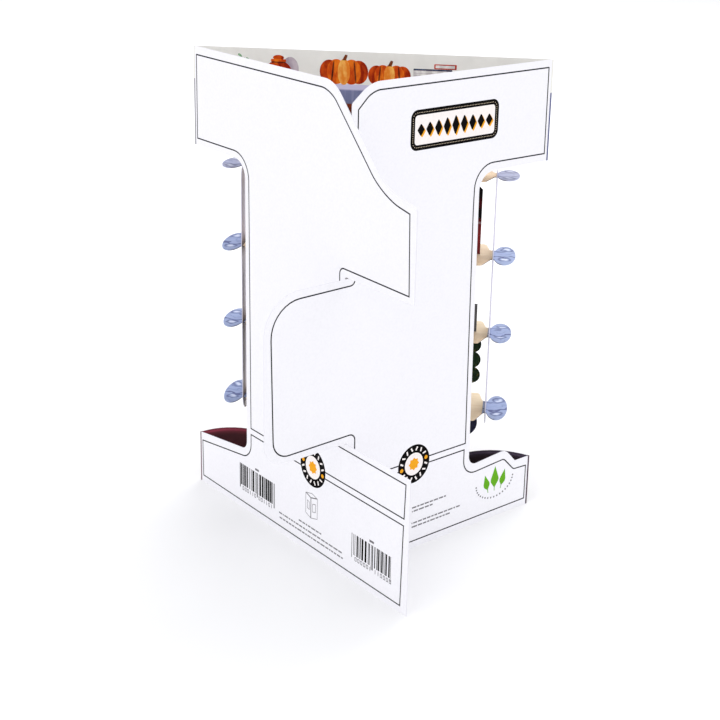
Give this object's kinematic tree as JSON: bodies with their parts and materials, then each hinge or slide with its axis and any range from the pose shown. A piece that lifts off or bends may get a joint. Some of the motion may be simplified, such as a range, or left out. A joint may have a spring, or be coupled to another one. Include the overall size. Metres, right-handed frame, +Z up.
{
  "type": "greeting card",
  "caption": "Die-cut stand-up greeting card: a folded sheet whose back panels hook together, with shelves slotted through it and through upright side walls.",
  "frame": {"origin": "on the ground below the middle of the card's outline", "axes": "+Z up, +Y towards the side the display front faces, +X to the right as seen from the back"},
  "size_m": [0.1686, 0.1374, 0.225],
  "materials": {
    "card_sheet": "smooth uncoated white card, printed",
    "wall_sheet": "smooth card, printed lavender grey",
    "shelf_sheet": "smooth card, printed tan with blue ends",
    "top_shelf_sheet": "smooth card, printed pale peach with blue ends"
  },
  "bodies": {
    "root": {"folded_card": "card_sheet", "left_side_wall": "wall_sheet", "right_side_wall": "wall_sheet", "shelf_1": "shelf_sheet", "shelf_2": "shelf_sheet", "shelf_3": "shelf_sheet", "shelf_4": "top_shelf_sheet"}
  },
  "joints": []
}
